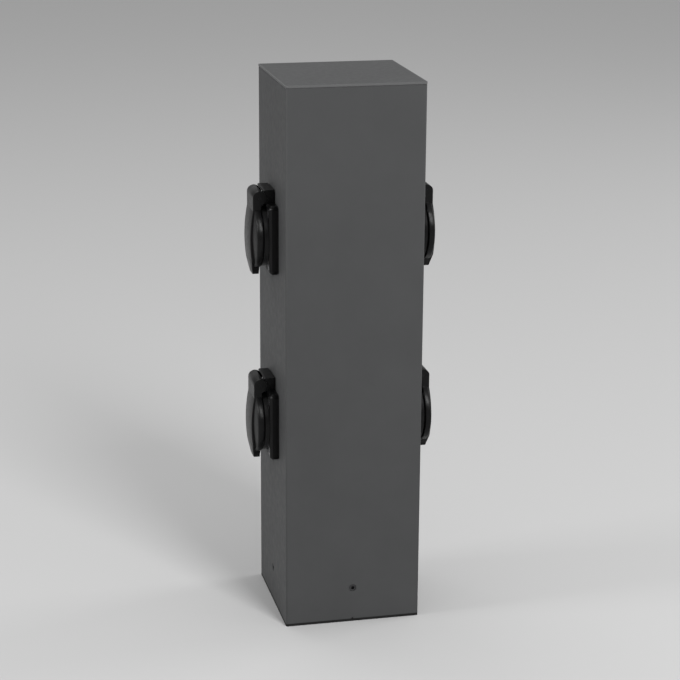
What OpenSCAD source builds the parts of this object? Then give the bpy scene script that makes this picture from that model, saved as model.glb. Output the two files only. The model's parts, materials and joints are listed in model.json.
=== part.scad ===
// Garden socket post: a square powder-coated column over a base plate that bolts to
// the ground, with two outlets on each of two opposite faces. Each outlet has a square
// flange, a round collar and recess, and a sprung lid that hinges at the top.
// Origin: centre of the footprint at ground level. +Z is up, outlets face -X and +X.

/* [Column] */
// Width of the square column across its faces
post_w = 100; // [96:1:120]
// Height from the ground to the top of the cap
post_h = 400; // [385:1:600]
// Wall thickness of the column
wall_t = 2; // [1.6:0.1:2.4]
// Outside radius of the column's corners
corner_r = 1.2; // [1:0.1:3]
// Height of the upper pair of outlets
upper_z = 285.5; // [275:0.5:300]
// Height of the lower pair of outlets
lower_z = 146; // [135:0.5:160]

/* [Top cap] */
// Thickness of the cap's plate
cap_t = 1.5; // [1:0.1:3]
// How far the cap stands out past the column
cap_overhang = 0.2; // [0:0.1:2]
// Depth of the skirt that holds the cap in the column
cap_skirt_h = 12; // [8:1:20]
// Thickness of the cap's skirt
cap_skirt_t = 1.2; // [0.8:0.1:2]
// Thickness of the seal under the cap
cap_seal_t = 0.5; // [0.5:0.1:1.2]

/* [Base] */
// Thickness of the foot gasket
foot_gasket_t = 2; // [1.3:0.1:3]
// Width of the foot gasket's band
foot_gasket_band = 12; // [10:0.5:13]
// Thickness of the base plate
plate_t = 3; // [2.5:0.1:4]
// Distance between the anchor holes, along X and along Y
anchor_pitch = 60; // [58:1:64]
// Diameter of the anchor holes
anchor_d = 9; // [7:0.5:10]
// Height of the side set screws
set_screw_z = 26.5; // [22:0.5:32]
// Diameter of the side set screws
set_screw_d = 5; // [4:1:6]
// Width of the base plate's bent-up tabs
tab_w = 30; // [20:1:40]
// Bore of the cable grommet
cable_d = 14; // [8:1:15]

/* [Outlet] */
// Thickness of the flange
flange_t = 5.7; // [5:0.1:6.5]
// Radius of the flange's corners
flange_corner_r = 3; // [2:0.1:4]
// Bevel round the flange's front face
flange_bevel = 1.6; // [0.5:0.1:1.8]
// Thickness of the gasket behind the flange
flange_gasket_t = 0.8; // [0.5:0.1:1.5]
// Diameter of the flange screws
flange_screw_d = 3.5; // [3:0.1:4.5]
// Flat left between the collar and the screws' heads
screw_land = 0.4; // [0.3:0.1:1.5]
// From the screws' centres to the flange's edge
flange_edge = 6; // [5:0.5:8]
// Length of the flange screws
flange_screw_l = 16; // [13:1:20]
// Diameter of the plug recess
recess_d = 39; // [36:0.5:42]
// Depth of the plug recess
recess_depth = 17.7; // [17:0.1:18.7]
// Wall of the collar round the recess
collar_wall = 3.5; // [2.5:0.1:5]
// How far the collar stands out from the flange
collar_h = 3.5; // [2.5:0.1:4]
// Wall of the cup behind the flange
cup_wall = 2; // [1.6:0.1:2.4]
// Thickness of the recess floor
floor_t = 2.5; // [2:0.1:3.5]
// Distance between the two plug pins
pin_pitch = 19; // [17.5:0.5:20.5]
// Bore of the contact sleeves
pin_bore_d = 5; // [4.9:0.05:5.1]
// Length of a plug pin past the recess floor
pin_reach = 19; // [18:0.5:20]

/* [Lid] */
// How far the lid stands out past the collar
lid_rim = 1; // [0.5:0.1:1.2]
// Gap between the closed lid and the collar
lid_gap = 0.4; // [0.35:0.05:0.6]
// Height of the lid's rim, skirt included
lid_h = 4.4; // [4.2:0.1:5.2]
// How far the lid's domed middle stands out past its rim
lid_dome = 2.7; // [1.5:0.1:3]
// Roof thickness of the lid
lid_roof_t = 2; // [1.5:0.1:2.2]
// Wall thickness of the lid's skirt
lid_skirt_t = 1.5; // [1.2:0.1:1.7]
// Width of the bowed strap
strap_w = 25; // [23:0.5:27]
// Height of the strap's crown over the collar
strap_rise = 8.1; // [7.5:0.1:9.5]
// Radius of the strap's bow
strap_bow_r = 116; // [100:1:130]
// Rounding of the strap's long edges
strap_soft = 0.8; // [0.4:0.1:0.9]
// Width of the finger tab at its end
tab_end_w = 14; // [10:0.5:18]
// How far the finger tab's back lies in front of the lid's rear edge
tab_set = 0.6; // [0.6:0.1:1.5]
// How far the finger tab reaches below the lid's rim
tab_reach = 4.3; // [4:0.1:10]
// Diameter of the hinge pin
hinge_pin_d = 2.4; // [2:0.1:2.6]
// Outside diameter of the lid's hinge knuckle
knuckle_d = 10; // [8.6:0.1:10.6]
// Widest opening angle of the lid
lid_open_deg = 100; // [60:1:100]
// Wire diameter of the lid spring
spring_wire_d = 0.8; // [0.6:0.05:0.85]
// Mean diameter of the lid spring's curls
spring_d = 5.2; // [4.7:0.1:5.5]

/* [Wiring] */
// Diameter of an insulated wire
wire_d = 3; // [2.6:0.1:3.4]
// Diameter of a wire's bare copper
copper_d = 1.8; // [1.4:0.1:1.9]
// Height of the terminal block's middle
block_z = 72; // [66:1:84]
// Thickness of the terminal bracket
bracket_t = 2; // [1.5:0.1:2.5]

/* [Clearances] */
// Gap round the cap's skirt and the base plate inside the column
slip_gap = 0.3; // [0.2:0.05:0.5]
// Gap round a screw in its hole
screw_gap = 0.1; // [0.05:0.05:0.2]
// Radial gap of the hinge pin in its bores
run_gap = 0.05; // [0.03:0.01:0.08]
// Gap between a moving piece and a fixed one
move_gap = 0.3; // [0.2:0.05:0.35]

/* [Hidden] */
$fn = 64;
cut = 1; // how far a cutting tool runs past what it cuts

// Column, cap and base
half_w = post_w / 2;
inner_w = post_w - 2 * wall_t;
inner_corner_r = max(0.5, corner_r - wall_t);
column_z = foot_gasket_t;
cap_z = post_h - cap_t;
column_top = cap_z - cap_seal_t;
column_h = column_top - column_z;
cap_w = post_w + 2 * cap_overhang;
cap_corner_r = corner_r + cap_overhang;
skirt_corner_r = 2;
seal_inset = 0.3; // how far a flat seal stays back from the edges above and below it
cap_seal_r = 1; // outer corner radius
cap_seal_inner_r = 0.8;
skirt_w = inner_w - 2 * slip_gap;
foot_gasket_inner = post_w - 2 * foot_gasket_band;
foot_gasket_inner_r = 2;
plate_top = foot_gasket_t + plate_t;
tab_face = inner_w / 2 - slip_gap; // outer face of the bent-up tabs
tab_bend_r = plate_t + 1.5; // outside radius of the bends
plate_w = 2 * (tab_face - tab_bend_r);
plate_corner_r = 3;
tab_over_screw = 11; // how far the tabs reach above their screws
tab_top = set_screw_z + tab_over_screw;
tab_chamfer = 4;
set_screw_r = set_screw_d / 2;
set_hole_r = set_screw_r + 0.25; // hole in the column, with room to turn the screw in
set_screw_recess = 0.3; // how far the set screw stays back from the column's face
set_screw_tail = 1.5; // how far the set screw stands out of the tab, inside
set_screw_x = tab_face - plate_t - set_screw_tail;
hex_depth = 2.5;
hex_share = 0.58; // hexagon's corner radius as a share of the screw's
drain_r = 0.8;
grommet_groove = 2; // rubber between the bore and the plate's hole
grommet_low = 0.2; // air under the grommet
grommet_lip_t = 1.2;
grommet_nose = 4; // upper lip and cone
grommet_nose_wall = 1.4;
grommet_r = cable_d / 2;
grommet_hole_r = grommet_r + grommet_groove;
grommet_lip_r = grommet_hole_r + 3;

// Outlets, measured outward from the column's face
flange_front = flange_gasket_t + flange_t;
collar_front = flange_front + collar_h;
recess_r = recess_d / 2;
collar_r = recess_r + collar_wall;
cup_r = recess_r + cup_wall;
cutout_r = cup_r + 0.5; // hole in the column's face
floor_front = collar_front - recess_depth;
floor_back = floor_front - floor_t;
ledge_t = 1; // ledge at the cup's back, which the recess floor sits on
ledge_r = recess_r - 2;
ledge_front = floor_back + ledge_t;
cup_depth = collar_front - ledge_front;
floor_gap = 0.15; // air round the recess floor
rim_soft = 0.5; // bevel on the collar's and the lid's edges
screw_r = flange_screw_d / 2;
screw_head_r = flange_screw_d;
// Distance between the screws along Y and along Z, to a tenth of a millimetre
screw_pitch = round(10 * sqrt(2) * (collar_r + screw_land + screw_head_r)) / 10;
flange_w = screw_pitch + 2 * flange_edge;
screw_sink = 0.1; // how far a countersunk head lies below its face
guide_rib_w = 4.6;
guide_rib_h = 1.8;
guide_rib_back = 4; // how far the ribs stop short of the collar's front
head_land = 0.3; // straight edge of a countersunk head
screw_tip_r = 0.4;
cross_share = 1.1; // width of a cross recess as a share of the head's radius
cross_arm_share = 0.24; // width of its arms, as the same share
cross_depth = 0.9;
pan_soft = 0.5; // bevel on a pan head's edge
slot_w = 0.6;
slot_depth = 0.7;

// Contacts and carrier
sleeve_wall = 1.1;
sleeve_r = pin_bore_d / 2 + sleeve_wall;
pin_lead = 0.75; // how much wider the floor's holes are than the sleeves' bores
contact_gap = 0.1; // air between the contacts and the moulding round them
sleeve_front = floor_back - contact_gap;
pin_tip = floor_front - pin_reach;
bore_back = pin_tip - 0.2;
terminal_front = bore_back - 0.4;
terminal_w = 7;
terminal_l = 8;
terminal_back = terminal_front - terminal_l;
terminal_x = terminal_front - terminal_l / 2; // where the wires pass
terminal_screw_r = 1.25;
terminal_head_r = 2.3;
terminal_head_h = 1.9;
channel_w = terminal_w + 1;
carrier_r = cup_r - 1;
carrier_back = terminal_back - 0.7;
centre_screw_r = 1.5;
centre_head_r = 3;
centre_screw_l = 14;
clip_t = 0.8;
clip_w = 5;
clip_x = floor_back - contact_gap - clip_t / 2; // middle of the earth strap's base
clip_slot_w = clip_w + 1.4;
clip_slot_h = 2.4;
ledge_slot_h = clip_slot_h + 0.4;
clip_tail_z = terminal_w / 2 - clip_t / 2;
clip_inset = 1.3;
clip_z = recess_r - clip_inset; // where the clips rise through the floor
clip_bulge = 1.7; // how far the clips press in on a plug
clip_tip = 0.4;
clip_bulge_x = floor_front + 6.5;
clip_tip_x = clip_bulge_x + 4;

// Lid and hinge, measured outward from the column's face
lid_r = collar_r + lid_rim;
lid_back = collar_front + lid_gap;
lid_front = lid_back + lid_h;
lid_ceiling = lid_front - lid_roof_t;
cavity_r = lid_r - lid_skirt_t;
seal_out_r = cavity_r - 0.2;
seal_in_r = recess_r + 0.4;
seal_front = lid_back - 0.1;
seal_soft = 0.7; // slope of the seal's edges, across
seal_slope = 1.1; // and along
strap_crown = collar_front + strap_rise;
strap_crown_z = -2.5;
strap_x = strap_crown - strap_bow_r; // centre of the bow
taper_z = -17; // where the strap starts to narrow
tab_end_z = -(lid_r + tab_reach);
tab_corner = 2.5; // rounding of the tab's two corners
pocket_r = seal_in_r - 0.3; // inside the lid seal, where the roof is domed too
dome_r = (lid_r * lid_r + lid_dome * lid_dome) / (2 * lid_dome);
dome_front = lid_front + lid_dome;
knuckle_r = knuckle_d / 2;
pin_r = hinge_pin_d / 2;
pin_hole_r = pin_r + run_gap;
hinge_out = 1; // how far the hinge's axis stands out from the collar's front
hinge_x = collar_front + hinge_out;
knuckle_lap = 0.3; // how far the knuckle's lowest point lies below the lid's rim
hinge_z = lid_r + knuckle_r - knuckle_lap;
knuckle_front = hinge_x + knuckle_r;
// Where the neck leaves the strap: a little below the height at which the bow passes its face
neck_z = strap_crown_z + sqrt(pow(strap_bow_r, 2) - pow(knuckle_front - strap_x, 2)) - 1;
seat_r = knuckle_r + move_gap;
tower_set = 2.8; // how far the tower's face stays back from the hinge's axis
tower_front = hinge_x - tower_set;
tower_lap = 0.5; // how far the tower's foot is let into the flange's edge
tower_low = flange_w / 2 - tower_lap;
tower_rise = 0.8; // how far the tower stands over the knuckle
tower_high = hinge_z + knuckle_r + tower_rise;
barrel_r = 3;
shell_r = barrel_r + move_gap + 0.1; // inside of the lid's hinge shell
cheek_w = 3.5;
cheek_y = strap_w / 2 - cheek_w; // inner faces of the lid's cheeks
barrel_y1 = cheek_y - move_gap;
barrel_l = 3.4;
barrel_y0 = barrel_y1 - barrel_l;
shell_end_deg = 105; // the shell's end, from outward towards up
shell_cut_deg = 252; // the shell's other end, clear of the lid's rim
web_start_deg = shell_end_deg + lid_open_deg + 7; // past where the opened shell ends
web_end_deg = shell_cut_deg - 16;
pin_recess = 0.2;

// Lid spring, about the hinge pin
spring_r = spring_d / 2;
spring_leg_r = knuckle_r - 0.3; // how far from the pin's axis the legs end
leg_turn = acos(spring_r / spring_leg_r);
seat_leg_deg = 220; // where the leg on the tower's seat ends
shell_leg_deg = shell_end_deg + 10; // where the other leg passes the shell's inner edge
spring_turns = 5;
spring_from_deg = seat_leg_deg + leg_turn;
spring_to_deg = 360 * (spring_turns + 1) + shell_leg_deg - acos(spring_r / shell_r);
spring_half_l = barrel_y0 - move_gap - spring_wire_d;
rings_per_curl = 8;
spring_sides = 6;

// Wiring
wire_x = half_w + terminal_x; // distance of the vertical wires from the post's axis
wire_r = wire_d / 2;
copper_r = copper_d / 2;
wire_hole_r = copper_r + 0.2;
wire_bare = 1; // bare copper outside a terminal
wire_end_gap = 0.6; // between two wires that meet in a terminal
wire_rise = 30; // straight run above the upper outlets
pole_pitch = pin_pitch / 2;
block_d = 14;
block_w = 2 * (pole_pitch + 5);
block_h = 20;
clamp_r = 3;
clamp_hole_r = 1.9;
clamp_l = block_h - 3;
turret_r = 3.3;
turret_h = 3;
block_screw_z = 5;
block_screw_r = 1.25;
block_head_r = 2;
block_head_h = 1.8;
block_bite = 2; // how far a wire reaches past its clamp screw
bracket_x = wire_x + block_d / 2; // face that carries the block
bracket_w = 36;
bracket_top = block_z + block_h / 2 + 10;
bracket_back = -bracket_x - bracket_t;
bracket_screw_r = 2;
bracket_head_r = 3.6;
foot_screw_x = wire_x;
foot_screw_y = 10;
foot_reach = foot_screw_x - bracket_head_r - 1; // where the bracket's foot ends
bracket_head_h = 2.4;
fixing_r = 1.5;
fixing_head_r = 2.7;
fixing_head_h = 2;
fixing_sink = 3; // how deep the block's fixing screws are let in
lug_t = 0.8;
lug_barrel_r = 2.4;
lug_barrel_h = 8;
lug_ring_r = 4.2;

OUTLETS = [
    for (side = [["left", 180], ["right", 0]], level = [["upper", upper_z], ["lower", lower_z]])
        [str(side[0], "_", level[0]), side[1], level[1]]
];
OUTLET_PARTS = [
    "outlet_housing", "flange_gasket", "recess_floor", "contact_carrier", "pin_contacts",
    "earth_clip", "lid", "lid_seal", "hinge_pin", "hinge_spring"
];
POST_PARTS = [
    "column", "top_cap", "cap_seal", "base_plate", "foot_gasket", "side_set_screws",
    "cable_grommet", "terminal_bracket", "bracket_screws", "terminal_block",
    "terminal_clamps", "terminal_block_screws", "earth_lug", "line_wires",
    "neutral_wires", "earth_wires", "flange_screws", "terminal_screws", "carrier_screws"
];

// Colours
coat = "#4c4f52";
plastic = "#1c1c1e";
rubber = "#18191a";
steel = "#b4b6b8";
brass = "#c9a94f";
carrier_grey = "#c9c7c0";

// Placing

module at_outlet(o) {
    rotate([0, 0, o[1]]) translate([half_w, 0, o[2]]) children();
}

module at_outlets() {
    for (o = OUTLETS) at_outlet(o) children();
}

module on_four_sides() {
    for (a = [0 : 90 : 270]) rotate([0, 0, a]) children();
}

module at_corners(pitch) {
    for (a = [-1, 1], b = [-1, 1]) translate([0, a * pitch / 2, b * pitch / 2]) children();
}

// Turns +Z to point outward along X, starting at x
module outward(x) {
    translate([x, 0, 0]) rotate([0, 90, 0]) children();
}

// Extrudes a drawing in Y and Z outward from x
module extrude_out(x, length) {
    translate([x, 0, 0]) rotate([90, 0, 90]) linear_extrude(length) children();
}

// Extrudes a drawing in X and Z along Y, centred
module extrude_across(width) {
    rotate([90, 0, 0]) linear_extrude(width, center = true) children();
}

// Extrudes a drawing in X and Z across two bands, y0 to y1, one on each side
module extrude_bands(y0, y1) {
    for (s = [-1, 1])
        translate([0, s * (y0 + y1) / 2, 0]) extrude_across(y1 - y0) children();
}

// Shapes

module rounded_square(w, r) {
    square([w, w - 2 * r], center = true);
    square([w - 2 * r, w], center = true);
    for (a = [-1, 1], b = [-1, 1]) translate([a, b] * (w / 2 - r)) circle(r);
}

// Square frame with rounded corners
module square_frame(outer, inner, outer_r, inner_r, height) {
    linear_extrude(height) difference() {
        rounded_square(outer, outer_r);
        rounded_square(inner, inner_r);
    }
}

// Square plate with rounded corners and a bevel round its upper face
module bevelled_plate(w, t, r, bevel) {
    core = w - 2 * r;
    linear_extrude(t) square(core, center = true);
    on_four_sides() {
        translate([core / 2, 0, 0]) extrude_across(core) bevelled_edge(t, r, bevel);
        translate([core / 2, core / 2, 0]) rotate_extrude(angle = 90) bevelled_edge(t, r, bevel);
    }
}

module bevelled_edge(t, r, bevel) {
    polygon([[0, 0], [r, 0], [r, t - bevel], [r - bevel, t], [0, t]]);
}

// Pie slice from one angle to another
module sector(r, from, to) {
    steps = ceil((to - from) / 30);
    polygon(concat(
        [[0, 0]],
        [for (i = [0 : steps]) let (a = from + (to - from) * i / steps) [cos(a), sin(a)] * r]
    ));
}

// Outline of a bent strip of constant thickness along a line of points
function unit(v) = v / norm(v);
function left_of(v) = [-v[1], v[0]];
function strip_side(points, offset) = [
    for (i = [0 : len(points) - 1])
        let (
            a = unit(points[max(i, 1)] - points[max(i, 1) - 1]),
            b = unit(points[min(i + 1, len(points) - 1)] - points[min(i, len(points) - 2)]),
            n = unit(left_of(a) + left_of(b))
        )
        points[i] + n * offset / (n * left_of(a))
];
function reversed(list) = [for (i = [len(list) - 1 : -1 : 0]) list[i]];

module strip(points, t) {
    polygon(concat(strip_side(points, t / 2), reversed(strip_side(points, -t / 2))));
}

// Countersunk screw along +Z, its head's face at zero
module countersunk_screw(r, head_r, length) {
    difference() {
        rotate_extrude() polygon([
            [0, 0], [head_r, 0], [head_r, -head_land], [r, -head_land - (head_r - r)],
            [r, -length + r], [screw_tip_r, -length], [0, -length]
        ]);
        cross_recess(head_r);
    }
}

// Hole for a countersunk screw, cut from above its face
module countersunk_hole(r, head_r, length, gap) {
    rotate_extrude() polygon([
        [0, cut], [head_r + gap, cut], [head_r + gap, -head_land - gap],
        [r + gap, -head_land - gap - (head_r - r)], [r + gap, -length], [0, -length]
    ]);
}

module cross_recess(head_r) {
    for (a = [0, 90]) rotate([0, 0, a])
        cube([head_r * cross_share, head_r * cross_arm_share, 2 * cross_depth], center = true);
}

// Pan-headed slotted screw along -Z, the underside of its head at zero
module pan_screw(r, head_r, head_h, length) {
    difference() {
        rotate_extrude() polygon([
            [0, head_h], [head_r - pan_soft, head_h], [head_r, head_h - pan_soft], [head_r, 0],
            [r, 0], [r, -length], [0, -length]
        ]);
        translate([0, 0, head_h]) cube([2 * head_r + cut, slot_w, 2 * slot_depth], center = true);
    }
}

// Column, cap and seals

module column() color(coat) difference() {
    translate([0, 0, column_z])
        square_frame(post_w, inner_w, corner_r, inner_corner_r, column_h);
    at_outlets() outward(-wall_t - cut) {
        cylinder(r = cutout_r, h = wall_t + 2 * cut);
    }
    at_outlets() at_corners(screw_pitch) outward(-wall_t - cut)
        cylinder(r = screw_r + screw_gap, h = wall_t + 2 * cut);
    on_four_sides() translate([half_w - wall_t - cut, 0, set_screw_z]) outward(0)
        cylinder(r = set_hole_r, h = wall_t + 2 * cut);
    for (s = [-1, 1]) translate([0, s * (half_w - wall_t / 2), column_z])
        rotate([90, 0, 0]) cylinder(r = drain_r, h = wall_t + 2 * cut, center = true);
}

module top_cap() color(coat) {
    translate([0, 0, cap_z]) linear_extrude(cap_t) rounded_square(cap_w, cap_corner_r);
    translate([0, 0, cap_z - cap_skirt_h])
        square_frame(skirt_w, skirt_w - 2 * cap_skirt_t, skirt_corner_r,
            skirt_corner_r - cap_skirt_t / 2, cap_skirt_h);
}

module cap_seal() color(rubber) translate([0, 0, column_top])
    square_frame(post_w - 2 * seal_inset, inner_w + 2 * seal_inset, cap_seal_r, cap_seal_inner_r,
        cap_seal_t);

module foot_gasket() color(rubber)
    square_frame(post_w, foot_gasket_inner, corner_r, foot_gasket_inner_r, foot_gasket_t);

// Base plate with four bent-up tabs

module tab_profile() {
    bend_x = tab_face - tab_bend_r;
    bend_z = foot_gasket_t + tab_bend_r;
    translate([bend_x - tab_bend_r, foot_gasket_t]) square([tab_bend_r, plate_t]);
    translate([tab_face - plate_t, bend_z]) square([plate_t, tab_top - bend_z]);
    translate([bend_x, bend_z]) intersection() {
        difference() {
            circle(tab_bend_r);
            circle(tab_bend_r - plate_t);
        }
        translate([0, -tab_bend_r]) square(tab_bend_r);
    }
}

module tab_outline() {
    w = tab_w / 2;
    polygon([
        [-w, 0], [w, 0], [w, tab_top - tab_chamfer], [w - tab_chamfer, tab_top],
        [tab_chamfer - w, tab_top], [-w, tab_top - tab_chamfer]
    ]);
}

module base_plate() color("#8d9194") difference() {
    union() {
        translate([0, 0, foot_gasket_t]) linear_extrude(plate_t)
            rounded_square(plate_w, plate_corner_r);
        on_four_sides() intersection() {
            extrude_across(tab_w) tab_profile();
            extrude_out(0, half_w) tab_outline();
        }
    }
    for (a = [-1, 1], b = [-1, 1])
        translate([a * anchor_pitch / 2, b * anchor_pitch / 2, foot_gasket_t - cut])
            cylinder(d = anchor_d, h = plate_t + 2 * cut);
    translate([0, 0, foot_gasket_t - cut]) cylinder(r = grommet_hole_r, h = plate_t + 2 * cut);
    on_four_sides() translate([0, 0, set_screw_z]) outward(tab_face - plate_t - cut)
        cylinder(r = set_screw_r + screw_gap / 2, h = plate_t + 2 * cut);
    for (s = [-1, 1]) translate([-foot_screw_x, s * foot_screw_y, foot_gasket_t - cut])
        cylinder(r = bracket_screw_r + screw_gap, h = plate_t + 2 * cut);
}

module side_set_screws() color(steel) on_four_sides()
    translate([0, 0, set_screw_z]) outward(set_screw_x) difference() {
        length = half_w - set_screw_recess - set_screw_x;
        cylinder(r = set_screw_r, h = length);
        translate([0, 0, length - hex_depth])
            cylinder(r = set_screw_r * hex_share, h = hex_depth + cut, $fn = 6);
    }

module cable_grommet() color(rubber) rotate_extrude() polygon([
    [grommet_r, grommet_low], [grommet_lip_r - rim_soft, grommet_low],
    [grommet_lip_r, grommet_low + rim_soft], [grommet_lip_r, foot_gasket_t],
    [grommet_hole_r - contact_gap, foot_gasket_t], [grommet_hole_r - contact_gap, plate_top],
    [grommet_lip_r, plate_top], [grommet_lip_r, plate_top + grommet_lip_t],
    [grommet_r + grommet_nose_wall, plate_top + grommet_nose],
    [grommet_r, plate_top + grommet_nose]
]);

// Terminals in the foot

module terminal_bracket() color("#8d9194") difference() {
    translate([bracket_back, -bracket_w / 2, plate_top]) {
        cube([bracket_t, bracket_w, bracket_top - plate_top]);
        cube([-foot_reach - bracket_back, bracket_w, bracket_t]);
    }
    translate([0, 0, plate_top - cut])
        cylinder(r = grommet_lip_r + move_gap, h = bracket_t + 2 * cut);
    for (s = [-1, 1]) {
        translate([-foot_screw_x, s * foot_screw_y, plate_top - cut])
            cylinder(r = bracket_screw_r + screw_gap, h = bracket_t + 2 * cut);
        translate([0, s * pole_pitch / 2, block_z]) outward(bracket_back - cut)
            cylinder(r = fixing_r + screw_gap, h = bracket_t + 2 * cut);
    }
}

module bracket_screws() color(steel) {
    for (s = [-1, 1]) {
        under_head = plate_top + bracket_t + (s > 0 ? lug_t : 0);
        translate([-foot_screw_x, s * foot_screw_y, under_head])
            pan_screw(bracket_screw_r, bracket_head_r, bracket_head_h, under_head - foot_gasket_t);
        translate([0, s * pole_pitch / 2, block_z]) outward(block_d / 2 - wire_x - fixing_sink)
            pan_screw(fixing_r, fixing_head_r, fixing_head_h, block_d - fixing_sink + bracket_t + cut);
    }
}

module at_poles() {
    for (p = [-1, 0, 1]) translate([-wire_x, p * pole_pitch, block_z]) children();
}

module terminal_block() color("#e4e0d2") difference() {
    union() {
        translate([-wire_x - block_d / 2, -block_w / 2, block_z - block_h / 2])
            cube([block_d, block_w, block_h]);
        at_poles() for (s = [-1, 1]) translate([0, 0, s * block_screw_z])
            outward(block_d / 2) cylinder(r = turret_r, h = turret_h);
    }
    at_poles() {
        cylinder(r = clamp_r + contact_gap, h = block_h + 2 * cut, center = true);
        for (s = [-1, 1]) translate([0, 0, s * block_screw_z]) outward(0)
            cylinder(r = block_head_r + move_gap, h = block_d / 2 + turret_h + cut);
    }
    for (s = [-1, 1]) translate([0, s * pole_pitch / 2, block_z]) {
        outward(-bracket_x - cut) cylinder(r = fixing_r + screw_gap, h = block_d + 2 * cut);
        outward(block_d / 2 - wire_x - fixing_sink)
            cylinder(r = fixing_head_r + move_gap, h = fixing_sink + cut);
    }
}

module terminal_clamps() color(brass) at_poles() difference() {
    cylinder(r = clamp_r, h = clamp_l, center = true);
    cylinder(r = clamp_hole_r, h = clamp_l + cut, center = true);
    for (s = [-1, 1]) translate([0, 0, s * block_screw_z]) outward(0)
        cylinder(r = block_screw_r + screw_gap, h = clamp_r + cut);
}

module terminal_block_screws() color(steel) at_poles()
    for (s = [-1, 1]) translate([0, 0, s * block_screw_z]) outward(clamp_r + contact_gap)
        pan_screw(block_screw_r, block_head_r, block_head_h, clamp_r - copper_r);

module earth_lug() color("#c8cacc") {
    z = plate_top + bracket_t;
    difference() {
        union() {
            translate([-foot_screw_x, foot_screw_y, z]) cylinder(r = lug_ring_r, h = lug_t);
            translate([-wire_x - lug_barrel_r, 0, z])
                cube([2 * lug_barrel_r, foot_screw_y - bracket_screw_r - cut, lug_t]);
            translate([-wire_x, 0, z]) cylinder(r = lug_barrel_r, h = lug_t + lug_barrel_h);
        }
        translate([-foot_screw_x, foot_screw_y, z - cut])
            cylinder(r = bracket_screw_r + screw_gap, h = lug_t + 2 * cut);
        translate([-wire_x, 0, z + lug_t])
            cylinder(r = copper_r + contact_gap, h = lug_barrel_h + cut);
    }
}

// Wires: each conductor runs from the block up the left side, over, and down the right

module wire(low, high, insulated_low, insulated_high) {
    translate([0, 0, low]) cylinder(r = copper_r, h = high - low);
    translate([0, 0, insulated_low]) cylinder(r = wire_r, h = insulated_high - insulated_low);
}

module conductor() {
    strip_off = terminal_w / 2 + wire_bare;
    meet = wire_end_gap / 2;
    block_end = block_z + block_screw_z - block_bite;
    turn_z = upper_z + wire_rise;
    translate([-wire_x, 0, 0])
        wire(block_end, lower_z - meet, block_z + block_h / 2, lower_z - strip_off);
    for (s = [-1, 1]) translate([s * wire_x, 0, 0])
        wire(lower_z + meet, upper_z - meet, lower_z + strip_off, upper_z - strip_off);
    for (s = [-1, 1]) translate([s * wire_x, 0, 0])
        wire(upper_z + meet, turn_z - cut, upper_z + strip_off, turn_z);
    translate([0, 0, turn_z]) rotate([90, 0, 0]) rotate_extrude(angle = 180)
        translate([wire_x, 0]) circle(wire_r);
}

module line_wires() color("#6b4026") translate([0, -pole_pitch, 0]) conductor();

module neutral_wires() color("#2f6fb0") translate([0, pole_pitch, 0]) conductor();

module earth_wires() color("#5d9a3a") {
    lug_z = plate_top + bracket_t + lug_t;
    conductor();
    translate([-wire_x, 0, 0]) wire(
        lug_z + contact_gap, block_z - block_screw_z + block_bite,
        lug_z + lug_barrel_h, block_z - block_h / 2
    );
}

// Outlet: housing with flange, collar, cup and hinge tower

module flange_gasket() color(rubber) difference() {
    extrude_out(0, flange_gasket_t) rounded_square(flange_w - 2 * seal_inset, flange_corner_r);
    outward(-cut) cylinder(r = cutout_r, h = flange_gasket_t + 2 * cut);
    at_corners(screw_pitch) outward(-cut)
        cylinder(r = screw_r + screw_gap, h = flange_gasket_t + 2 * cut);
}

module hinge_tower() extrude_across(strap_w) polygon([
    [flange_gasket_t, tower_low], [tower_front, tower_low], [tower_front, tower_high - rim_soft],
    [tower_front - rim_soft, tower_high], [flange_gasket_t, tower_high]
]);

module hinge_seat() extrude_across(strap_w + 2 * cut)
    translate([hinge_x, hinge_z]) circle(seat_r);

// Barrels on webs that stand in the seat
module hinge_barrels() extrude_bands(barrel_y0, barrel_y1) translate([hinge_x, hinge_z]) {
    circle(barrel_r);
    intersection() {
        circle(seat_r + rim_soft);
        sector(2 * seat_r, web_start_deg, web_end_deg);
    }
}

module housing_body() {
    outward(floor_back) cylinder(r = cup_r, h = flange_gasket_t - floor_back + cut);
    outward(flange_gasket_t) rotate_extrude() polygon([
        [0, 0], [collar_r, 0], [collar_r, collar_front - flange_gasket_t - rim_soft],
        [collar_r - rim_soft, collar_front - flange_gasket_t], [0, collar_front - flange_gasket_t]
    ]);
    translate([flange_gasket_t, 0, 0]) rotate([90, 0, 90])
        bevelled_plate(flange_w, flange_t, flange_corner_r, flange_bevel);
    hinge_tower();
}

module outlet_housing() color(plastic) {
    difference() {
        union() {
            difference() {
                housing_body();
                hinge_seat();
            }
            hinge_barrels();
        }
        outward(ledge_front) rotate_extrude() polygon([
            [0, 0], [recess_r, 0], [recess_r, cup_depth - rim_soft],
            [recess_r + rim_soft + cut, cup_depth + cut], [0, cup_depth + cut]
        ]);
        outward(floor_back - cut) cylinder(r = ledge_r, h = ledge_t + 2 * cut);
        for (s = [-1, 1])
            translate([floor_back - cut, -clip_slot_w / 2, s * clip_z - ledge_slot_h / 2])
                cube([ledge_t + 2 * cut, clip_slot_w, ledge_slot_h]);
        at_corners(screw_pitch) outward(flange_front - screw_sink)
            countersunk_hole(screw_r, screw_head_r, flange_t + cut, screw_gap);
        translate([hinge_x, 0, hinge_z]) rotate([90, 0, 0])
            cylinder(r = pin_hole_r, h = strap_w, center = true);
    }
    for (s = [0, 1]) mirror([0, s, 0])
        translate([floor_front + contact_gap, recess_r - guide_rib_h, -guide_rib_w / 2]) cube([
            recess_depth - guide_rib_back - contact_gap, guide_rib_h + cup_wall / 2, guide_rib_w
        ]);
}

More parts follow.
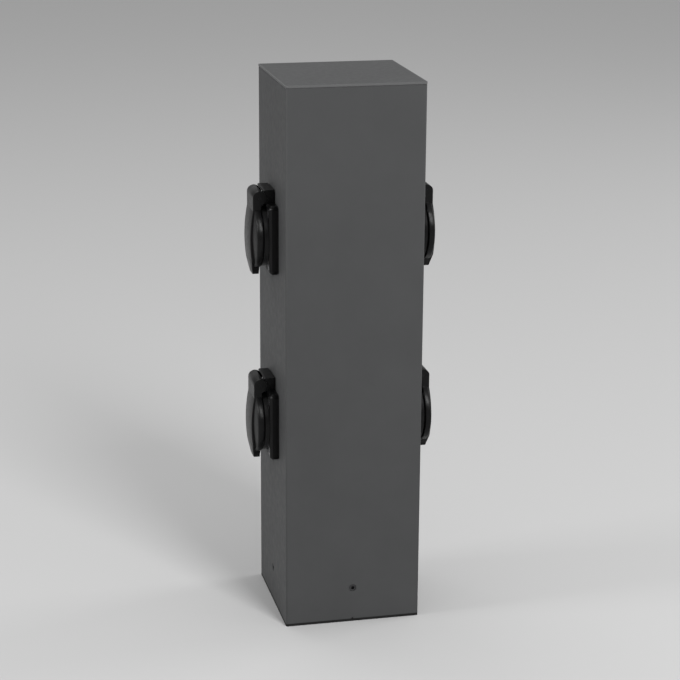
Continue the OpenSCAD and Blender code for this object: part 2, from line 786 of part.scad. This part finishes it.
// Floor of the recess: a disc with a step that sits on the housing's ledge
module recess_floor() color(plastic) difference() {
    union() {
        outward(floor_back) cylinder(r = ledge_r - floor_gap, h = floor_t);
        outward(ledge_front) cylinder(r = recess_r - floor_gap, h = floor_t - ledge_t);
    }
    for (s = [-1, 1]) {
        translate([0, s * pin_pitch / 2, 0]) outward(floor_back - cut)
            cylinder(r = pin_bore_d / 2 + pin_lead, h = floor_t + 2 * cut);
        translate([floor_back - cut, -clip_slot_w / 2, s * clip_z - clip_slot_h / 2])
            cube([floor_t + 2 * cut, clip_slot_w, clip_slot_h]);
    }
    outward(floor_front - screw_sink)
        countersunk_hole(centre_screw_r, centre_head_r, floor_t + cut, screw_gap);
}

// Contacts

module contact_carrier() color(carrier_grey) difference() {
    outward(carrier_back) cylinder(r = carrier_r, h = floor_back - carrier_back);
    for (s = [-1, 1]) translate([0, s * pin_pitch / 2, 0]) outward(terminal_front - cut)
        cylinder(r = sleeve_r + contact_gap, h = -terminal_front);
    for (p = [-1, 0, 1])
        translate([carrier_back - cut, p * pole_pitch - channel_w / 2, -carrier_r - cut])
            cube([terminal_front + contact_gap - carrier_back + cut, channel_w, 2 * (carrier_r + cut)]);
    translate([floor_back - 2 * contact_gap - clip_t, -clip_slot_w / 2, -carrier_r - cut])
        cube([2 * clip_t, clip_slot_w, 2 * (carrier_r + cut)]);
    translate([terminal_front - cut, -clip_slot_w / 2, clip_tail_z - clip_t])
        cube([-terminal_front, clip_slot_w, 2 * clip_t]);
    outward(floor_back - centre_screw_l)
        cylinder(r = centre_screw_r + screw_gap / 2, h = centre_screw_l + cut);
}

module terminal_cube() difference() {
    translate([terminal_back, -terminal_w / 2, -terminal_w / 2])
        cube([terminal_l, terminal_w, terminal_w]);
    translate([terminal_x, 0, 0]) cylinder(r = wire_hole_r, h = terminal_w + cut, center = true);
    outward(terminal_back - cut)
        cylinder(r = terminal_screw_r + screw_gap, h = terminal_l / 2 + cut);
}

module pin_contacts() color(brass) for (s = [-1, 1]) translate([0, s * pin_pitch / 2, 0]) {
    terminal_cube();
    difference() {
        outward(terminal_front) cylinder(r = sleeve_r, h = sleeve_front - terminal_front);
        outward(bore_back) cylinder(d = pin_bore_d, h = sleeve_front - bore_back + cut);
    }
}

module earth_clip() color("#c8cacc") {
    arm = [
        [clip_x, clip_z], [floor_front + floor_t, clip_z], [clip_bulge_x, clip_z - clip_bulge],
        [clip_tip_x, clip_z - clip_tip]
    ];
    difference() {
        extrude_across(clip_w) strip(concat(
            [for (p = reversed(arm)) [p[0], -p[1]]], arm
        ), clip_t);
        outward(clip_x - clip_t) cylinder(r = centre_screw_r + screw_gap, h = 2 * clip_t);
    }
    extrude_across(clip_w) translate([terminal_front, clip_tail_z - clip_t / 2])
        square([clip_x - terminal_front, clip_t]);
    terminal_cube();
}

module flange_screws() color(steel) at_outlets() at_corners(screw_pitch)
    outward(flange_front - screw_sink)
        countersunk_screw(screw_r, screw_head_r, flange_screw_l);

module carrier_screws() color(steel) at_outlets() outward(floor_front - screw_sink)
    countersunk_screw(centre_screw_r, centre_head_r, centre_screw_l);

module terminal_screws() color(steel) at_outlets() for (p = [-1, 0, 1])
    translate([terminal_back, p * pole_pitch, 0]) rotate([0, -90, 0])
        pan_screw(terminal_screw_r, terminal_head_r, terminal_head_h,
            terminal_l / 2 - copper_r - contact_gap);

// Lid: domed round plate, bowed strap with a finger tab, neck and hinge knuckle

// Half of a rounding's points, about its corner, over a quarter turn from an angle
function rounding(corner, r, from) =
    [for (a = [from : 30 : from + 90]) corner + r * [cos(a), sin(a)]];

module strap_outline() {
    end = tab_end_w / 2 - tab_corner;
    low = tab_end_z + tab_corner;
    polygon(concat(
        [[strap_w / 2, hinge_z], [-strap_w / 2, hinge_z], [-strap_w / 2, taper_z]],
        rounding([-end, low], tab_corner, 180), rounding([end, low], tab_corner, 270),
        [[strap_w / 2, taper_z]]
    ));
}

// Section through the strap, its two front edges rounded
module strap_section(front) {
    edge = strap_w / 2 - strap_soft;
    polygon(concat(
        [[0, -strap_w / 2]], rounding([front - strap_soft, -edge], strap_soft, -90),
        rounding([front - strap_soft, edge], strap_soft, 0), [[0, strap_w / 2]]
    ));
}

module lid_strap() intersection() {
    extrude_out(lid_back + tab_set, strap_crown - lid_back) strap_outline();
    translate([strap_x, 0, strap_crown_z]) rotate([90, 0, 0])
        rotate_extrude($fn = 240) strap_section(strap_bow_r);
}

// Neck and knuckle, with the strap's rounded edges
module lid_neck() intersection() {
    extrude_across(strap_w) {
        translate([lid_back, neck_z]) square([knuckle_front - lid_back, hinge_z - neck_z]);
        translate([hinge_x, hinge_z]) circle(knuckle_r);
    }
    translate([0, 0, neck_z]) linear_extrude(tower_high - neck_z) strap_section(knuckle_front);
}

module dome(r) translate([0, dome_front - lid_back - dome_r]) circle(r, $fn = 360);

module lid_plate() rotate_extrude() intersection() {
    polygon([
        [0, 0], [lid_r - rim_soft, 0], [lid_r, rim_soft], [lid_r, lid_h - rim_soft],
        [lid_r - rim_soft - lid_dome - cut, lid_h + lid_dome + cut], [0, lid_h + lid_dome + cut]
    ]);
    dome(dome_r);
}

// Flat roof over the seal, domed roof inside it
module lid_hollow() rotate_extrude() {
    translate([0, -cut]) square([cavity_r, lid_ceiling - lid_back + cut]);
    intersection() {
        square([pocket_r, lid_h + lid_dome]);
        dome(dome_r - lid_roof_t);
    }
}

module lid() color(plastic) difference() {
    union() {
        outward(lid_back) lid_plate();
        lid_strap();
        lid_neck();
    }
    outward(lid_back) lid_hollow();
    extrude_across(2 * cheek_y) translate([hinge_x, hinge_z]) {
        circle(shell_r);
        sector(knuckle_r + cut, shell_end_deg, shell_cut_deg);
    }
    translate([hinge_x, 0, hinge_z]) rotate([90, 0, 0])
        cylinder(r = pin_hole_r, h = strap_w + 2 * cut, center = true);
}

module lid_seal() color(rubber) outward(0) rotate_extrude() polygon([
    [seal_in_r, lid_ceiling], [seal_in_r, seal_front + seal_slope], [seal_in_r + seal_soft, seal_front],
    [seal_out_r - seal_soft, seal_front], [seal_out_r, seal_front + seal_slope], [seal_out_r, lid_ceiling]
]);

module hinge_pin() color(steel) translate([hinge_x, 0, hinge_z]) rotate([90, 0, 0])
    cylinder(r = pin_r, h = strap_w - 2 * pin_recess, center = true);

// Lid spring: one torsion spring whose legs press on the tower's seat and the lid's shell

function about_pin(r, a, y) = [hinge_x + r * cos(a), y, hinge_z + r * sin(a)];
function spring_path() =
    let (
        turn = spring_to_deg - spring_from_deg,
        n = round(turn / 360 * rings_per_curl)
    )
    concat(
        [about_pin(spring_leg_r, spring_from_deg - leg_turn, -spring_half_l)],
        [for (i = [0 : n]) about_pin(
            spring_r, spring_from_deg + turn * i / n, spring_half_l * (2 * i / n - 1)
        )],
        [about_pin(spring_leg_r, spring_to_deg + leg_turn, spring_half_l)]
    );
function along(path, i) = unit(path[min(i + 1, len(path) - 1)] - path[max(i - 1, 0)]);
function ring(p, t, r, sides) =
    let (u = unit(cross(t, [0, 1, 0])), v = cross(u, t))
    [for (k = [0 : sides - 1]) p + r * (cos(360 * k / sides) * u + sin(360 * k / sides) * v)];
function least_gap(path, apart) = min([
    for (i = [1 : len(path) - 2], j = [i + apart : 1 : len(path) - 2]) norm(path[i] - path[j])
]) - spring_wire_d;

module tube(path, r, sides) {
    n = len(path);
    polyhedron(
        points = [for (i = [0 : n - 1]) each ring(path[i], along(path, i), r, sides)],
        faces = concat(
            [[for (k = [0 : sides - 1]) k]],
            [for (i = [0 : n - 2], k = [0 : sides - 1]) each let (
                a = i * sides + k, b = i * sides + (k + 1) % sides
            ) [[a, a + sides, b], [b, a + sides, b + sides]]],
            [[for (k = [sides - 1 : -1 : 0]) (n - 1) * sides + k]]
        )
    );
}

module hinge_spring() color(steel) tube(spring_path(), spring_wire_d / 2, spring_sides);

echo(str("Least gap between the lid spring's curls, mm: ", least_gap(spring_path(), rings_per_curl - 2)));

column();
top_cap();
cap_seal();
base_plate();
foot_gasket();
side_set_screws();
cable_grommet();
terminal_bracket();
bracket_screws();
terminal_block();
terminal_clamps();
terminal_block_screws();
earth_lug();
line_wires();
neutral_wires();
earth_wires();
flange_screws();
terminal_screws();
carrier_screws();
for (o = OUTLETS) at_outlet(o) {
    outlet_housing();
    flange_gasket();
    recess_floor();
    contact_carrier();
    pin_contacts();
    earth_clip();
    lid();
    lid_seal();
    hinge_pin();
    hinge_spring();
}
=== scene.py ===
"""Looks of the garden socket post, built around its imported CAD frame."""

import json
import math

import bpy
from mathutils import Matrix, Vector

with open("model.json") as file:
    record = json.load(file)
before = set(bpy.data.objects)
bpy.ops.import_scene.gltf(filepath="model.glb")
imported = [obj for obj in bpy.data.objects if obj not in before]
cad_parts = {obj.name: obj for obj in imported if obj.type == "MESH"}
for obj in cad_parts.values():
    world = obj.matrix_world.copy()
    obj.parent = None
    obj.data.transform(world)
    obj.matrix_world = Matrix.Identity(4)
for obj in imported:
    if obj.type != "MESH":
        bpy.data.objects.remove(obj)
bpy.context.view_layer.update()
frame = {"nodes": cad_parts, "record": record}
nodes = frame["nodes"]

MM = 0.001

# Camera, fitted to the corners of the column in the photograph: metres, degrees and mm of lens
CAMERA_PLACE = (-0.31536, -1.38198, 0.62668)
CAMERA_YAW = -12.8774
CAMERA_PITCH = -16.6595
CAMERA_ROLL = -0.3736
CAMERA_LENS = 106.54
CAMERA_SENSOR = 36.0
CAMERA_NEAR = 0.05
CAMERA_FAR = 50

# Colours, linear
COAT = (0.066, 0.067, 0.068)
# Paler coat painted along the cap's outer edge as a highlight
EDGE_HIGHLIGHT_COAT = (0.115, 0.116, 0.117)
MOULDING = (0.0048, 0.0048, 0.005)
RUBBER = (0.011, 0.011, 0.011)
# Grey of the cap's seal, painted lighter than the rubber's own grey so that the shade in its
# thin recessed gap is painted out
SEAL_GREY_WITH_PAINTED_LIGHT = (0.13, 0.13, 0.131)
FLOOR = (0.5, 0.5, 0.5)
SKY = (1, 1, 1)

# Distances from the post's axis between which the cap's coat pales to its painted edge
# highlight, metres
EDGE_HIGHLIGHT_FROM = 0.0493
EDGE_HIGHLIGHT_TO = 0.0499

# Metals by slot: name, linear colour, roughness and stretch of the marks along X, Y and Z
METALS = {
    "black_steel": ("black_oxide_steel", (0.022, 0.022, 0.023), 0.4, (1, 1, 1)),
    "set_screw": ("worn_black_steel", (0.075, 0.075, 0.077), 0.5, (1, 1, 1)),
    "screw_steel": ("bright_steel", (0.52, 0.52, 0.53), 0.27, (1, 6, 1)),
    "spring_steel": ("spring_steel", (0.42, 0.42, 0.43), 0.24, (6, 1, 1)),
    "zinc_plate": ("zinc_plate", (0.37, 0.38, 0.39), 0.38, (1, 1, 1)),
    "brass": ("brass", (0.58, 0.42, 0.15), 0.26, (1, 1, 5)),
    "tinned": ("tinned_copper", (0.56, 0.57, 0.58), 0.3, (1, 1, 1)),
}

# Plain plastics by slot: name, linear colour and roughness
PLASTICS = {
    "carrier": ("carrier_plastic", (0.53, 0.52, 0.48), 0.5),
    "block": ("block_plastic", (0.72, 0.69, 0.60), 0.45),
    "wire_brown": ("brown_insulation", (0.13, 0.045, 0.018), 0.4),
    "wire_blue": ("blue_insulation", (0.03, 0.13, 0.42), 0.4),
    "wire_green": ("green_insulation", (0.1, 0.33, 0.05), 0.4),
}

# Pieces whose look differs from the rest of their slot
# The top cap's coat carries a painted highlight along its outer edge
OWN_LOOK = {"top_cap": "coat_with_painted_highlight", "side_set_screws": "set_screw"}

# Part of a noise's values that is spread over the whole of what it drives
NOISE_LOW = 0.3
NOISE_HIGH = 0.7

# Width of the softened edges by the start of the piece's name, mm
SOFT_EDGES = {
    "column": 0.15,
    "top_cap": 0.5,
    "outlet_housing": 0.3,
    "recess_floor": 0.2,
    "lid_left": 0.3,
    "lid_right": 0.3,
    "base_plate": 0.2,
    "terminal_bracket": 0.2,
    "contact_carrier": 0.2,
    "pin_contacts": 0.15,
    "side_set_screws": 0.15,
}
EDGE_SEGMENTS = 2
EDGE_ANGLE = 28  # degrees, from which an edge counts as sharp
EDGE_WELD = 0.002  # mm, within which the mesh's points are joined first

FLOOR_SIZE = 40  # metres
FLOOR_ROUGHNESS = 0.85

# Strength of the sky, which is dimmer low down than overhead, and the heights between which it
# brightens, as the Z of a direction of length 1
SKY_LOW = 0.35
SKY_HIGH = 0.7
SKY_LOW_HEIGHT = 0.1
SKY_HIGH_HEIGHT = 0.9

# Lamps: place, point aimed at, width and height in metres, and power in watts
LAMPS = {
    "left": ((-2.1, -0.1, 0.95), (0, 0, 0.25), (0.5, 0.6), 15),
    "front": ((0.42, -1.4, 1.5), (0, 0, 0.35), (0.5, 1.0), 26),
    "right": ((2.2, 0.5, 1.0), (0, 0, 0.2), (0.8, 0.8), 14),
    "back": ((-0.5, 1.3, 2.4), (0, 0, 0.2), (1.2, 1.2), 8),
}


def add_camera():
    """The photograph's own viewpoint."""
    data = bpy.data.cameras.new("camera")
    data.sensor_fit = "HORIZONTAL"
    data.sensor_width = CAMERA_SENSOR
    data.lens = CAMERA_LENS
    data.clip_start = CAMERA_NEAR
    data.clip_end = CAMERA_FAR
    camera = bpy.data.objects.new("camera", data)
    bpy.context.scene.collection.objects.link(camera)
    # The last turn comes first: it raises the camera's view from straight down to level
    turn = (
        Matrix.Rotation(math.radians(CAMERA_YAW), 4, "Z")
        @ Matrix.Rotation(math.radians(CAMERA_PITCH), 4, "X")
        @ Matrix.Rotation(math.radians(CAMERA_ROLL), 4, "Y")
        @ Matrix.Rotation(math.radians(90), 4, "X")
    )
    camera.matrix_world = Matrix.Translation(CAMERA_PLACE) @ turn
    bpy.context.scene.camera = camera


class Shader:
    """A material whose look is put together from a few node blocks."""

    def __init__(self, name, colour, roughness, metallic=0.0, **sockets):
        self.material = bpy.data.materials.new(name)
        self.material.use_nodes = True
        self.tree = self.material.node_tree
        self.surface = self.tree.nodes["Principled BSDF"]
        self.colour = colour
        self.roughness = roughness
        self.relief = None
        self.set("Base Color", (*colour, 1))
        self.set("Roughness", roughness)
        self.set("Metallic", metallic)
        for key, value in sockets.items():
            self.set(key.replace("_", " "), value)

    def set(self, socket, value):
        """Sets a number or colour on the surface itself."""
        self.surface.inputs[socket].default_value = value

    def node(self, kind, **settings):
        """A new node, with its inputs and its own settings given by name."""
        made = self.tree.nodes.new(kind)
        for key, value in settings.items():
            if key in made.inputs:
                made.inputs[key].default_value = value
            else:
                setattr(made, key, value)
        return made

    def link(self, out, into):
        self.tree.links.new(out, into)

    def place(self, stretch=(1, 1, 1)):
        """The point on the piece in metres, times the stretch along each axis."""
        where = self.node("ShaderNodeTexCoord")
        mapping = self.node("ShaderNodeMapping", Scale=stretch)
        self.link(where.outputs["Object"], mapping.inputs["Vector"])
        return mapping.outputs["Vector"]

    def noise(self, size, detail=2.0, stretch=(1, 1, 1)):
        """Noise whose spots are about size metres across."""
        made = self.node("ShaderNodeTexNoise", Scale=1 / size, Detail=detail)
        self.link(self.place(stretch), made.inputs["Vector"])
        return made.outputs["Fac"]

    def spread(self, value, low, high, from_low=NOISE_LOW, from_high=NOISE_HIGH):
        """The part of the value between two numbers, spread between low and high."""
        limits = {"From Min": from_low, "From Max": from_high, "To Min": low, "To Max": high}
        made = self.node("ShaderNodeMapRange", **limits)
        self.link(value, made.inputs["Value"])
        return made.outputs["Result"]

    def mottle(self, size, amount, **noise):
        """Lets the colour vary by a share of itself."""
        mix = self.node("ShaderNodeMix", data_type="RGBA", blend_type="MIX")
        dark = tuple(c * (1 - amount) for c in self.colour)
        light = tuple(c * (1 + amount) for c in self.colour)
        mix.inputs["A"].default_value = (*dark, 1)
        mix.inputs["B"].default_value = (*light, 1)
        self.link(self.spread(self.noise(size, **noise), 0, 1), mix.inputs["Factor"])
        self.link(mix.outputs["Result"], self.surface.inputs["Base Color"])

    def paint_edge_highlight(self, colour, start, end):
        """Paints a highlight: pales the mottled colour between two distances from the post's
        axis, along X or Y.
        """
        split = self.node("ShaderNodeSeparateXYZ")
        self.link(self.place(), split.inputs["Vector"])
        reach = self.node("ShaderNodeMath", operation="MAXIMUM")
        for axis, socket in zip("XY", reach.inputs):
            size = self.node("ShaderNodeMath", operation="ABSOLUTE")
            self.link(split.outputs[axis], size.inputs[0])
            self.link(size.outputs["Value"], socket)
        mix = self.node("ShaderNodeMix", data_type="RGBA", blend_type="MIX")
        base = self.surface.inputs["Base Color"]
        self.link(base.links[0].from_socket, mix.inputs["A"])
        mix.inputs["B"].default_value = (*colour, 1)
        self.link(self.spread(reach.outputs["Value"], 0, 1, start, end), mix.inputs["Factor"])
        self.link(mix.outputs["Result"], base)

    def vary_roughness(self, size, amount, **noise):
        """Lets the roughness vary by an amount to either side."""
        low, high = self.roughness - amount, self.roughness + amount
        value = self.spread(self.noise(size, **noise), low, high)
        self.link(value, self.surface.inputs["Roughness"])

    def bump(self, size, depth, **noise):
        """Adds relief of the given depth in metres on top of any already there."""
        made = self.node("ShaderNodeBump", Distance=depth, Strength=1.0)
        self.link(self.noise(size, **noise), made.inputs["Height"])
        if self.relief is not None:
            self.link(self.relief, made.inputs["Normal"])
        self.relief = made.outputs["Normal"]
        self.link(self.relief, self.surface.inputs["Normal"])


def powder_coat(name, with_edge_highlight=False):
    """Fine-textured satin powder coat: an even orange peel with tiny grit, and on request a
    highlight painted along the outer edge.
    """
    s = Shader(name, COAT, roughness=0.6, Specular_IOR_Level=0.15)
    s.mottle(size=0.035, amount=0.04, detail=4)
    if with_edge_highlight:
        # Painted highlight: the cap's outer edge is coloured paler, as a lit rounded edge looks
        s.paint_edge_highlight(EDGE_HIGHLIGHT_COAT, EDGE_HIGHLIGHT_FROM, EDGE_HIGHLIGHT_TO)
    s.vary_roughness(size=0.004, amount=0.05)
    s.bump(size=0.0016, depth=0.000016, detail=1)
    s.bump(size=0.0006, depth=0.00001, detail=2)
    return s.material


def black_moulding():
    """Glass-filled black plastic with a fine spark-eroded grain."""
    s = Shader("black_moulding", MOULDING, roughness=0.32, Specular_IOR_Level=0.15)
    s.mottle(size=0.02, amount=0.12, detail=3)
    s.vary_roughness(size=0.0025, amount=0.05)
    s.bump(size=0.0005, depth=0.000012, detail=2)
    return s.material


def soft_rubber(name, colour):
    """Matte rubber with a dusty, slightly uneven skin."""
    s = Shader(name, colour, roughness=0.72, Specular_IOR_Level=0.2)
    s.mottle(size=0.006, amount=0.2, detail=3)
    s.bump(size=0.0009, depth=0.00002, detail=2)
    return s.material


def metal(name, colour, roughness, grain):
    """Bare metal with fine drawn or rolled marks."""
    s = Shader(name, colour, roughness, metallic=1.0)
    s.mottle(size=0.003, amount=0.08, detail=3, stretch=grain)
    s.vary_roughness(size=0.0006, amount=0.07, detail=2, stretch=grain)
    s.bump(size=0.0003, depth=0.000006, detail=2, stretch=grain)
    return s.material


def moulded(name, colour, roughness):
    """Plain moulded plastic, as inside the outlets and on the wires."""
    s = Shader(name, colour, roughness)
    s.mottle(size=0.004, amount=0.06, detail=2)
    s.bump(size=0.0005, depth=0.00001)
    return s.material


def make_materials():
    """Every material by its slot or own look."""
    made = {
        "coat": powder_coat("powder_coat"),
        "coat_with_painted_highlight": powder_coat("powder_coat_painted_edge_highlight", with_edge_highlight=True),
        "moulding": black_moulding(),
        "rubber": soft_rubber("black_rubber", RUBBER),
        # The seal's grey carries painted light that cancels the shade in its gap
        "grey_rubber": soft_rubber("grey_rubber", SEAL_GREY_WITH_PAINTED_LIGHT),
    }
    made.update({slot: metal(*look) for slot, look in METALS.items()})
    made.update({slot: moulded(*look) for slot, look in PLASTICS.items()})
    return made


def soften(obj, width):
    """Rounds the sharp edges a little, as moulding, coating or tumbling does."""
    weld = obj.modifiers.new("weld", "WELD")
    weld.merge_threshold = EDGE_WELD * MM
    bevel = obj.modifiers.new("soft_edges", "BEVEL")
    bevel.width = width
    bevel.segments = EDGE_SEGMENTS
    bevel.limit_method = "ANGLE"
    bevel.angle_limit = math.radians(EDGE_ANGLE)
    bevel.use_clamp_overlap = True
    bevel.harden_normals = True


def dress_nodes(materials):
    """Gives every CAD node its material, and softly broken edges where it has them."""
    slots = {s["node"]: s["material_slot"] for s in frame["record"]["subparts"]}
    for name, obj in nodes.items():
        obj.data.materials.clear()
        obj.data.materials.append(materials[OWN_LOOK.get(name, slots[name])])
        for start, width in SOFT_EDGES.items():
            if name.startswith(start):
                soften(obj, width * MM)


def add_floor():
    """A large pale sheet on the ground."""
    bpy.ops.mesh.primitive_plane_add(size=FLOOR_SIZE, location=(0, 0, 0))
    floor = bpy.context.object
    floor.name = "floor"
    floor.data.materials.append(Shader("floor_paper", FLOOR, FLOOR_ROUGHNESS).material)


def add_lamp(name, place, target, size, power):
    """A flat lamp that faces the point it is aimed at."""
    light = bpy.data.lights.new(name, "AREA")
    light.shape = "RECTANGLE"
    light.size, light.size_y = size
    light.energy = power
    obj = bpy.data.objects.new(name, light)
    obj.location = place
    obj.rotation_euler = (Vector(target) - obj.location).to_track_quat("-Z", "Y").to_euler()
    bpy.context.scene.collection.objects.link(obj)


def add_light():
    """Plain soft studio light: a pale sky and weak lamps."""
    world = bpy.data.worlds.new("world")
    bpy.context.scene.world = world
    world.use_nodes = True
    tree = world.node_tree
    sky = tree.nodes["Background"]
    sky.inputs["Color"].default_value = (*SKY, 1)
    where = tree.nodes.new("ShaderNodeTexCoord")
    split = tree.nodes.new("ShaderNodeSeparateXYZ")
    spread = tree.nodes.new("ShaderNodeMapRange")
    spread.inputs["From Min"].default_value = SKY_LOW_HEIGHT
    spread.inputs["From Max"].default_value = SKY_HIGH_HEIGHT
    spread.inputs["To Min"].default_value = SKY_LOW
    spread.inputs["To Max"].default_value = SKY_HIGH
    tree.links.new(where.outputs["Generated"], split.inputs["Vector"])
    tree.links.new(split.outputs["Z"], spread.inputs["Value"])
    tree.links.new(spread.outputs["Result"], sky.inputs["Strength"])
    for name, lamp in LAMPS.items():
        add_lamp(name, *lamp)


bpy.context.scene.view_settings.view_transform = "Standard"
add_camera()
dress_nodes(make_materials())
add_floor()
add_light()
